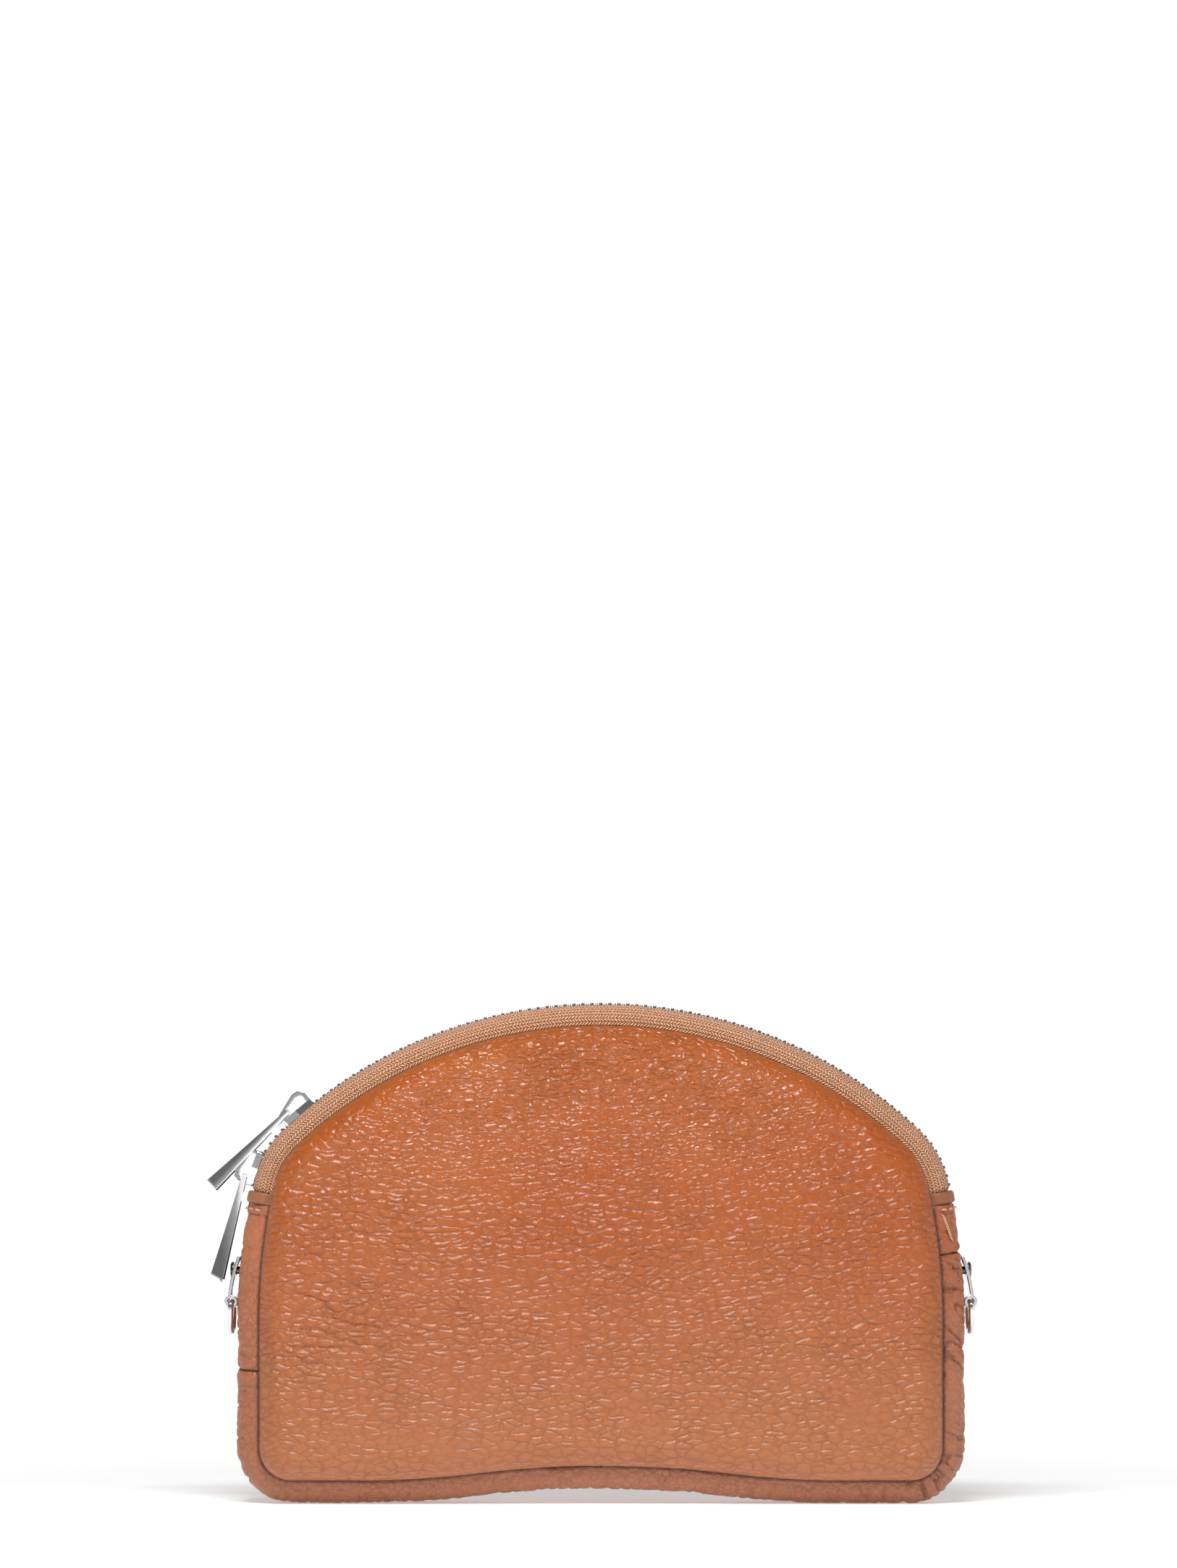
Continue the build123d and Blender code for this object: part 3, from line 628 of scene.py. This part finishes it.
def panel_sheet(name, side, seed, material, columns, rows, **shape):
    """One dished sheet with its edge turned into the seam: outer face, rolled edge and inner face.

    shape: inset and seam_y of its edge, roll and puff of its rounded edge, thick, crown, slack, grain.
    """
    inset, seam_y, roll, puff = shape["inset"], shape["seam_y"], shape["roll"], shape["puff"]
    thick, crown, slack, grain = shape["thick"], shape["crown"], shape["slack"], shape["grain"]
    s = ring_lengths(columns, rows, inset + 0.6 * roll)
    x, z, nx, nz = rim(s)
    count = len(s)
    points, creases = [], []

    def add_ring(depth_in, out):
        points.append(np.stack([x - nx * depth_in, side * (seam_y + out), z - nz * depth_in], 1))
        creases.append(np.zeros(count))

    out = np.zeros(count)
    for depth_in, back in ((inset + thick, -0.02), (inset + 0.5 * thick, -0.04), (inset + 0.15, -0.04)):
        add_ring(depth_in, out + back)
    turns = np.linspace(0, 1, 16) ** 1.25
    for turn in turns:
        angle = turn * math.pi / 2
        inward = inset + roll * (1 - math.cos(angle))
        px, pz = x - nx * inward, z - nz * inward
        arc = roll * (1 - turn) * math.pi / 2
        flat_x, flat_z = x - nx * (inset + roll - arc), z - nz * (inset + roll - arc)
        height, crease = pebbles(flat_x, flat_z, seed)
        fade = grain * smooth(turn / 0.35)
        bulge = 0.35 * noise(s / 11, np.full(count, turn * 2), seed + 11) * math.sin(angle * 2)
        lift = height * fade + bulge * min(grain, 1)
        ring_x = px + nx * lift * math.cos(angle)
        ring_z = pz + nz * lift * math.cos(angle)
        y = seam_y + (puff * math.sin(angle)) + lift * math.sin(angle)
        points.append(np.stack([ring_x, side * y, ring_z], 1))
        # Painted shade: darkest at the foot of the rolled edge, down in the seam, with the grain's crease
        # shade further up.
        dark = max(0.0, 1 - turn / 0.13) ** 0.7
        creases.append(np.clip(crease * min(1, fade) + dark, 0, 1))
    rings = len(points)
    faces = grid_faces(rings, count, closed=True)
    edge_x, edge_z = x - nx * (inset + roll), z - nz * (inset + roll)
    middle = patch(edge_x, edge_z, columns, rows).reshape(-1, 2)
    order = ring_order(columns, rows)
    far = rim_distance(middle[:, 0], middle[:, 1], inset + roll)
    far[order] = 0
    height, crease = pebbles(middle[:, 0], middle[:, 1], seed)
    y = seam_y + puff + swell(middle[:, 0], middle[:, 1], far, seed, crown, slack) + grain * height
    folds = grain * smooth(far / 6) * slack_folds(middle[:, 0], middle[:, 1], seed)
    y -= 0.75 * folds
    # Painted shade in the slack folds.
    crease = np.clip(crease + 0.28 * folds, 0, 1)
    grid = np.stack([middle[:, 0], side * y, middle[:, 1]], 1)
    inside = join_patch(faces, order, (rings - 1) * count, rings * count, columns, rows)
    points.append(grid[inside])
    creases.append(crease[inside] * min(1, grain))
    # The inner face: half as many points, a sheet's thickness behind.
    total = sum(len(p) for p in points)
    half = count // 2
    inner_rings = []
    for turn in (0.0, 0.3, 0.65, 1.0):
        angle = turn * math.pi / 2
        inward = inset + thick + (roll - thick) * (1 - math.cos(angle))
        out_y = seam_y + (puff - thick) * math.sin(angle)
        inner_x, inner_z = x[::2] - nx[::2] * inward, z[::2] - nz[::2] * inward
        inner_rings.append(np.stack([inner_x, np.full(half, side * out_y), inner_z], 1))
    points += inner_rings
    creases += [np.zeros(half)] * 4
    faces += grid_faces(4, half, start=total, closed=True)
    for k in range(half):
        a, b, c = 2 * k, 2 * k + 1, (2 * k + 2) % count
        i, j = total + k, total + (k + 1) % half
        faces += [(a, b, i), (b, j, i), (b, c, j)]
    inner = patch(inner_rings[-1][:, 0], inner_rings[-1][:, 2], columns // 2, rows // 2).reshape(-1, 2)
    inner_order = ring_order(columns // 2, rows // 2)
    far = rim_distance(inner[:, 0], inner[:, 1], inset + roll)
    far[inner_order] = 0
    inner_y = seam_y + puff - thick + swell(inner[:, 0], inner[:, 1], far, seed, crown, slack)
    inner_grid = np.stack([inner[:, 0], side * inner_y, inner[:, 1]], 1)
    inside = join_patch(faces, inner_order, total + 3 * half, total + 4 * half, columns // 2, rows // 2)
    points.append(inner_grid[inside])
    creases.append(np.zeros(len(inside)))
    values = {"crease": np.concatenate(creases)}
    return outwards(finish_mesh(name, np.vstack(points) * MM, faces, material, values))


LEATHER_SHAPE = dict(
    inset=SEAM_INSET, seam_y=SEAM_Y, roll=7.2, puff=7.0, thick=1.4, crown=1.0, slack=0.35, grain=1.0
)
front = panel_sheet("front_leather", -1, 11, PANEL_LEATHER, 310, 200, **LEATHER_SHAPE)
back = panel_sheet("back_leather", 1, 57, PANEL_LEATHER, 310, 200, **LEATHER_SHAPE)
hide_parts("front_panel", "front_panel_mouth")
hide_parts("back_panel")
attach(back, "pouch")

LINING_SHAPE = dict(
    inset=8.3, seam_y=SEAM_Y, roll=3.8, puff=4.3, thick=0.5, crown=1.0, slack=0.35, grain=0.0
)
front_lining = panel_sheet("front_lining_cloth", -1, 11, LINING_CLOTH, 120, 72, **LINING_SHAPE)
back_lining = panel_sheet("back_lining_cloth", 1, 57, LINING_CLOTH, 120, 72, **LINING_SHAPE)
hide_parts("front_lining", "front_lining_mouth")
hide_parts("back_lining")
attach(back_lining, "pouch")


WADDING_INSET = 13.8
WADDING_Y = 17.15  # how far from the middle the wadding lies, before the panel's swell is added


def wadding(name, side, seed, columns=100, rows=60):
    """The soft sheet between a panel's leather and its lining, with an uneven face."""
    s = ring_lengths(columns, rows, WADDING_INSET)
    x, z, nx, nz = rim(s)
    middle = patch(x - nx * WADDING_INSET, z - nz * WADDING_INSET, columns, rows).reshape(-1, 2)
    order = ring_order(columns, rows)
    far = rim_distance(middle[:, 0], middle[:, 1], WADDING_INSET)
    far[order] = 0
    plump = smooth(far / 2.5)
    uneven = 0.08 * noise(middle[:, 0] / 4, middle[:, 1] / 4, seed)
    count = len(middle)
    level = WADDING_Y + swell(middle[:, 0], middle[:, 1], far, seed, 1.0, 0.35)
    outer = side * (level + 0.05 + (0.3 + uneven) * plump)
    inner = side * (level - 0.05 - (0.3 + uneven) * plump)
    points = np.concatenate([np.stack([middle[:, 0], face, middle[:, 1]], 1) for face in (outer, inner)])
    faces = grid_faces(rows + 1, columns + 1)
    faces += [tuple(count + i for i in face) for face in faces]
    faces += [(a, b, count + b, count + a) for a, b in zip(order, order[1:] + order[:1])]
    return outwards(finish_mesh(name, points * MM, faces, WADDING))


front_wadding = wadding("front_wadding", -1, 11)
back_wadding = wadding("back_wadding", 1, 57)
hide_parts("front_padding", "front_padding_mouth")
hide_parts("back_padding")
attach(back_wadding, "pouch")


# ---------------------------------------------------------------- strips round the outline

CREST_HALF = 5.5
CREST_ROUND = 6.4
SECTION_END = CREST_HALF + CREST_ROUND * math.pi / 2
LIP_END = SECTION_END + 1.3  # the seam allowance behind a panel's edge
LEFT_JOIN, RIGHT_JOIN = rim_at(38.0, -1), rim_at(72.0, 1)
LEFT_TAB, RIGHT_TAB = rim_at(87.8, -1), rim_at(87.8, 1)


def on_strip(s, t, lift):
    """Points on the strip round the pouch: s along the crest, t across it, lift above its outer face.

    Near its two joins the strip's lines bow a little, as the joins do.
    """
    around = (s + HALF_RIM) % (2 * HALF_RIM) - HALF_RIM
    bow = np.exp(-np.abs(around - LEFT_JOIN) / 4) - np.exp(-np.abs(around - RIGHT_JOIN) / 4)
    x, z, nx, nz = rim(s + 0.9 * bow * (np.cos(t / SECTION_END * math.pi) * 0.5 + 0.5))
    hand = np.where(t < 0, -1.0, 1.0)
    angle = np.clip((np.abs(t) - CREST_HALF) / CREST_ROUND, 0, math.pi / 2)
    lip = np.maximum(0, np.abs(t) - SECTION_END)
    y = hand * (np.minimum(np.abs(t), CREST_HALF) + (CREST_ROUND + lift) * np.sin(angle))
    out = (CREST_ROUND + lift) * np.cos(angle) - CREST_ROUND - lip
    return np.stack([x + nx * out, y, z + nz * out], -1)


def strip(name, s_stops, t_stops, thick, relief, material, inner_steps=10):
    """A closed strip of leather or webbing: outer face with its relief, and a plain inner face."""
    s, t = np.meshgrid(s_stops, t_stops, indexing="ij")
    lift, crease = relief(s, t)
    outer = on_strip(s, t, lift)
    inner_t = np.linspace(t_stops[-1], t_stops[0], inner_steps)
    si, ti = np.meshgrid(s_stops, inner_t, indexing="ij")
    inner = on_strip(si, ti, 0 * si - thick)
    loops = np.concatenate([outer, inner], axis=1)
    rows, columns = loops.shape[:2]
    faces = grid_faces(rows, columns, closed=True)
    faces.append(tuple(range(columns)))
    faces.append(tuple((rows - 1) * columns + c for c in reversed(range(columns))))
    # The crease attribute carries the relief's painted shade; the inner face has none.
    dark = np.concatenate([crease, np.zeros(inner.shape[:2])], axis=1).ravel()
    weave = np.concatenate([np.stack([s, t, 0 * s], -1), np.stack([si, ti, 0 * si], -1)], axis=1)
    values = {"crease": dark, "weave": weave.reshape(-1, 3) * MM}
    return outwards(finish_mesh(name, loops.reshape(-1, 3) * MM, faces, material, values))


def bump_between(value, low, high, soft):
    return smooth((value - low) / soft) * smooth((high - value) / soft)


def gusset_relief(seed, start, end, tab_s):
    """Fine grain, cross wrinkles that deepen at the corners, gathers at the seams and turned ends.

    Where the strip meets a zip tab, at tab_s, its end goes in under the tab.
    """

    def relief(s, t):
        height, crease = pebbles(s, t + 210, seed, 2.8)
        rub = 0.8 * height
        corner = np.exp(-(((np.abs(s) - CORNER_S) / 15) ** 2))
        right = bump_between(s, rim_at(80, 1), rim_at(26, 1), 12)
        calm = 0.75 + 1.1 * corner + 1.0 * right
        run = s + 0.55 * np.abs(t) * right + 1.5 * noise(s / 9, t / 9, seed + 3)
        fold = 1 - np.abs(noise(run / 3.0, t / 12 + 0.2 * s / 9, seed + 4))
        slight = 1 - np.abs(noise(run / 1.5, t / 7 + s / 15, seed + 7))
        wrinkle = (fold**7 + 0.4 * slight**7) * calm * 0.85
        gather = np.cos(run / 0.82 + 2.5 * noise(s / 8, t / 20, seed + 5))
        pucker = 0.40 * corner * gather * smooth((np.abs(t) - 4.5) / 7)
        sag = 0.30 * noise(s / 17, t / 15, seed + 6) + 0.25 * np.cos(t / SECTION_END * math.pi / 2)
        near = np.minimum(s - start, end - s)
        near = np.where(np.abs(s - tab_s) < 4, 9.0, near)
        turned = -0.60 * np.clip(1 - near / 1.3, 0, 1) ** 2 - 0.55 * smooth(1.6 - np.abs(s - tab_s))
        hem = 0.20 * np.exp(-(((near - 2.0) / 1.2) ** 2)) - 0.12 * np.exp(-(((near - 4.4) / 0.5) ** 2))
        edge = np.clip((np.abs(t) - SECTION_END + 2.6) / 2.6, 0, 1)
        lift = (rub + sag - wrinkle + pucker + hem + turned) * (1 - edge**3)
        # Painted shade: darker in the grain creases and wrinkles, where the edges go into the seams, at the
        # ends and in the hem's groove.
        dark = 0.5 * crease + 0.45 * smooth(wrinkle / 0.85 - 0.35)
        dark += np.clip((np.abs(t) - SECTION_END + 0.9) / 0.8, 0, 1)
        dark += np.clip(1 - near / 0.6, 0, 1) + 0.35 * np.exp(-(((near - 4.4) / 0.5) ** 2))
        return lift, np.clip(dark, 0, 1)

    return relief


NO_TAB = 999.0


def gusset(name, node_name, start, end, seed, tab_s=NO_TAB):
    long = end - start
    stops = np.linspace(start, end, max(8, int(long / 0.62)))
    across = np.linspace(-LIP_END, LIP_END, 58)
    obj = strip(name, stops, across, 1.4, gusset_relief(seed, start, end, tab_s), GUSSET_LEATHER)
    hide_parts(node_name)
    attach(obj, "pouch")
    return obj


JOIN_GAP = 0.01
base_start, base_end = RIGHT_JOIN + JOIN_GAP, 2 * HALF_RIM + LEFT_JOIN - JOIN_GAP
right_end, left_start = RIGHT_JOIN - JOIN_GAP, LEFT_JOIN + JOIN_GAP
gusset("gusset_base_leather", "gusset_base", base_start, base_end, 31)
gusset("gusset_right_leather", "gusset_side_right", TOP_RIGHT_S, right_end, 33, RIGHT_TAB)
gusset("gusset_left_leather", "gusset_side_left", left_start, TOP_LEFT_S, 35, LEFT_TAB)


def tab_relief(start, end):
    def relief(s, t):
        near = np.minimum(s - start, end - s)
        roll = 0.8 * np.sqrt(np.clip(1 - (1 - np.clip(near / 1.0, 0, 1)) ** 2, 0, 1))
        worn = 0.10 * noise(s / 2.2, t / 2.8, 44) + 0.05 * noise(s / 0.9, t / 1.1, 45)
        lift = (roll + worn * smooth(near / 0.8)) * smooth((SECTION_END - np.abs(t)) / 2.2)
        return lift, np.clip(0.7 - near / 0.6, 0, 1)

    return relief


for side, word in ((-1, "left"), (1, "right")):
    ends = sorted((rim_at(86.65, side), rim_at(90.15, side)))
    stops = np.linspace(*ends, 22)
    across = np.linspace(-LIP_END, LIP_END, 96)
    tab = strip(f"zip_tab_{word}", stops, across, 0.35, tab_relief(*ends), TAB_LEATHER)
    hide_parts(f"zip_end_tab_{word}")
    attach(tab, "pouch")


def lining_relief(s, t):
    return -1.5 + 0.06 * noise(s / 5, t / 5, 47), 0 * s


lining_start, lining_end = rim_at(90.0, 1), 2 * HALF_RIM + rim_at(90.0, -1)
gusset_lining = strip(
    "gusset_lining_cloth",
    np.linspace(lining_start, lining_end, 360),
    np.linspace(-SECTION_END, SECTION_END, 40),
    2.0,
    lining_relief,
    LINING_CLOTH,
)
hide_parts("gusset_lining")
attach(gusset_lining, "pouch")


# ---------------------------------------------------------------- zip

TAPE_EDGE = 1.9
ZIP_START, ZIP_END = rim_at(88.6, -1), rim_at(88.6, 1)


def tape_relief(s, t):
    """A raised cord at the inner edge, a soft crown, and ends that go in under the tabs."""
    inside = np.abs(t) - TAPE_EDGE
    cord = 0.20 * np.exp(-(((inside - 0.7) / 0.6) ** 2)) * (inside > 0.0)
    soft = 0.12 * noise(s / 9, t / 6, 51) * smooth((inside - 1.5) / 4)
    seam = smooth((SECTION_END - np.abs(t)) / 1.5)
    lift = -0.45 + cord + (soft + 0.25 * np.sin(inside / 13.65 * math.pi)) * seam
    under = smooth((np.minimum(s - ZIP_START, ZIP_END - s) - 1.7) / 0.6)
    lift = -0.75 + (lift + 0.75) * under
    return np.where(np.abs(t) > SECTION_END, -0.35, lift), 1 - seam


def tape(name, node_name, side):
    across = np.sort(side * np.linspace(TAPE_EDGE, LIP_END, 50))
    obj = strip(name, np.linspace(ZIP_START, ZIP_END, 420), across, 1.0, tape_relief, TAPE, 8)
    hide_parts(node_name)
    return obj


tape_front = tape("zip_tape_front_webbing", "zip_tape_front", -1)
tape_back = tape("zip_tape_back_webbing", "zip_tape_back", 1)
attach(tape_back, "pouch")

PITCH = 2.6
PARTED = 1.75
SLIDERS = ((-94.8, -1), (-115.0, 1))  # where each stands along the zip, and which way it faces


def tooth_shift(s):
    """How far a row stands aside at s: closed outside the sliders, parted between their fronts."""
    parted = PARTED
    for slider_s, forwards in SLIDERS:
        parted = min(parted, PARTED * float(smooth(((s - slider_s) * forwards + 2.5) / 4.5)))
    return parted


def rounded_box(work, low, high, radius, segments=2):
    """A box with rounded edges, added to a bmesh."""
    low, high = Vector(low), Vector(high)
    matrix = Matrix.Translation((low + high) / 2) @ Matrix.Diagonal((*(high - low), 1))
    made = bmesh.ops.create_cube(work, size=1.0, matrix=matrix)["verts"]
    edges = list({edge for vert in made for edge in vert.link_edges})
    bmesh.ops.bevel(
        work, geom=edges, offset=radius, segments=segments, affect="EDGES", profile=0.5, clamp_overlap=True
    )


def template(build):
    """The points and faces of a small shape that is repeated."""
    work = bmesh.new()
    build(work)
    points = np.array([v.co for v in work.verts], float)
    work.verts.index_update()
    faces = [tuple(v.index for v in f.verts) for f in work.faces]
    work.free()
    return points, faces


def tooth_shape(work):
    """x along the zip, y into the tape from the middle, z outwards: a head, a neck and gripping legs."""
    rounded_box(work, (-0.56, -0.5, -1.25), (0.56, 0.75, 0.28), 0.24)
    rounded_box(work, (-0.40, 0.2, -1.1), (0.40, 1.6, 0.2), 0.15)
    rounded_box(work, (-0.50, 1.1, -0.75), (0.50, 3.0, 0.52), 0.20)
    rounded_box(work, (-0.50, 1.1, -1.72), (0.50, 3.0, -1.0), 0.20)


TOOTH_POINTS, TOOTH_FACES = template(tooth_shape)


def repeat(name, points, faces, frames, material):
    """Copies of a small shape, one per frame: origin and three axes, in millimetres."""
    placed, all_faces = [], []
    for number, (origin, along, across, out) in enumerate(frames):
        axes = np.stack([along, across, out])
        placed.append(np.asarray(origin) + points @ axes)
        all_faces += [tuple(number * len(points) + i for i in face) for face in faces]
    return finish_mesh(name, np.vstack(placed) * MM, all_faces, material)


TEETH_EACH_SIDE = 46


def teeth(name, node_name, side):
    """One row of teeth. The back row stands half a pitch along, so it has one tooth fewer."""
    frames = []
    for k in range(-TEETH_EACH_SIDE, TEETH_EACH_SIDE + (1 if side < 0 else 0)):
        s = k * PITCH + (0 if side < 0 else PITCH / 2)
        x, z, nx, nz = (float(v) for v in rim(s))
        origin = (x, side * tooth_shift(s), z)
        frames.append((origin, (nz, 0, -nx), (0, side, 0), (nx, 0, nz)))
    obj = repeat(name, TOOTH_POINTS, TOOTH_FACES, frames, TEETH_METAL)
    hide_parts(node_name)
    return outwards(obj)


teeth_front = teeth("zip_teeth_front_metal", "zip_teeth_front", -1)
teeth_back = teeth("zip_teeth_back_metal", "zip_teeth_back", 1)
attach(teeth_back, "pouch")


def stitch_shape(work):
    """A thread's float: fat in the middle, with its ends turned down into the leather."""
    made = bmesh.ops.create_uvsphere(work, u_segments=10, v_segments=8, radius=1.0)["verts"]
    for vert in made:
        x, y, z = vert.co
        twist = 0.06 * math.sin(6 * x + 2 * y)
        vert.co = (z * 0.98, y * 0.30 + twist, x * 0.26 - 0.25 * z * z)


STITCH_POINTS, STITCH_FACES = template(stitch_shape)


def strip_frame(s, t, lift, turn=0.0):
    """A frame on the gusset's face, turned about its outward normal."""
    origin = on_strip(np.array(s), np.array(t), np.array(lift))
    on_s = on_strip(np.array(s + 0.05), np.array(t), np.array(lift)) - origin
    on_t = on_strip(np.array(s), np.array(t + 0.05), np.array(lift)) - origin
    on_s, on_t = on_s / np.linalg.norm(on_s), on_t / np.linalg.norm(on_t)
    out = np.cross(on_s, on_t)
    out *= 1 if out @ (origin - np.array([0, 0, 50])) > 0 else -1
    along = math.cos(turn) * on_s + math.sin(turn) * on_t
    return origin, along, np.cross(out, along), out


STITCH_Z = 85.0
STITCH_PITCH = 2.5
STITCHES_HALF = 5
LOOSE_TWISTS = 9


def stitches():
    """The rows across the two tabs, and the twisted end of thread that hangs loose at the right."""
    frames = []
    wobble = np.random.default_rng(5).normal(0, 0.09, (200, 2))
    in_row = 2 * STITCHES_HALF + 1
    for side in (-1, 1):
        s = rim_at(STITCH_Z, side)
        for k in range(-STITCHES_HALF, STITCHES_HALF + 1):
            dx, turn = wobble[k + STITCHES_HALF + (in_row if side > 0 else 0)]
            frames.append(strip_frame(s + dx, STITCH_PITCH * k, 0.62, 1.57 + turn))
    loose_from = (rim_at(83.4, 1), -13.0)
    loose_to = (rim_at(75.8, 1), -11.2)
    for k in range(LOOSE_TWISTS):
        share = (k + 0.5) / LOOSE_TWISTS
        s = loose_from[0] + (loose_to[0] - loose_from[0]) * share
        t = loose_from[1] + (loose_to[1] - loose_from[1]) * share
        frames.append(strip_frame(s, t, 0.30, 0.62))
    obj = repeat("tab_stitch_thread", STITCH_POINTS, STITCH_FACES, frames, THREAD)
    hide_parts("tab_stitches")
    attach(obj, "pouch")
    return outwards(obj)


stitches()

# The front's pieces get their placing baked into their points.
for piece in (front, front_lining, front_wadding, tape_front, teeth_front):
    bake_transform(piece)

# ---------------------------------------------------------------- metal parts kept from the CAD

METAL_NODES = {
    "upper_slider_body": (CHROME, 0.14),
    "upper_slider_crown": (CHROME, 0.22),
    "upper_pull": (CHROME, 0.5),
    "lower_slider_body": (CHROME, 0.14),
    "lower_slider_crown": (CHROME, 0.22),
    "lower_pull": (CHROME, 0.5),
    "ring_hanger_left": (CHROME, 0.18),
    "ring_hanger_right": (CHROME, 0.18),
    "hanger_rivet_left": (RIVET_METAL, 0.08),
    "hanger_rivet_right": (RIVET_METAL, 0.08),
    "ring_left": (CHROME, 0.0),
    "ring_right": (CHROME, 0.0),
}
for name, (finish, width) in METAL_NODES.items():
    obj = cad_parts[name]
    for material_slot in obj.material_slots:
        material_slot.material = finish
    if width:
        merged = obj.modifiers.new("merged_points", "WELD")
        merged.merge_threshold = 0.002 * MM
        rounding = obj.modifiers.new("rounded_edges", "BEVEL")
        rounding.width = width * MM
        rounding.segments = 3
        rounding.limit_method = "ANGLE"
        rounding.angle_limit = math.radians(35)
        rounding.harden_normals = True
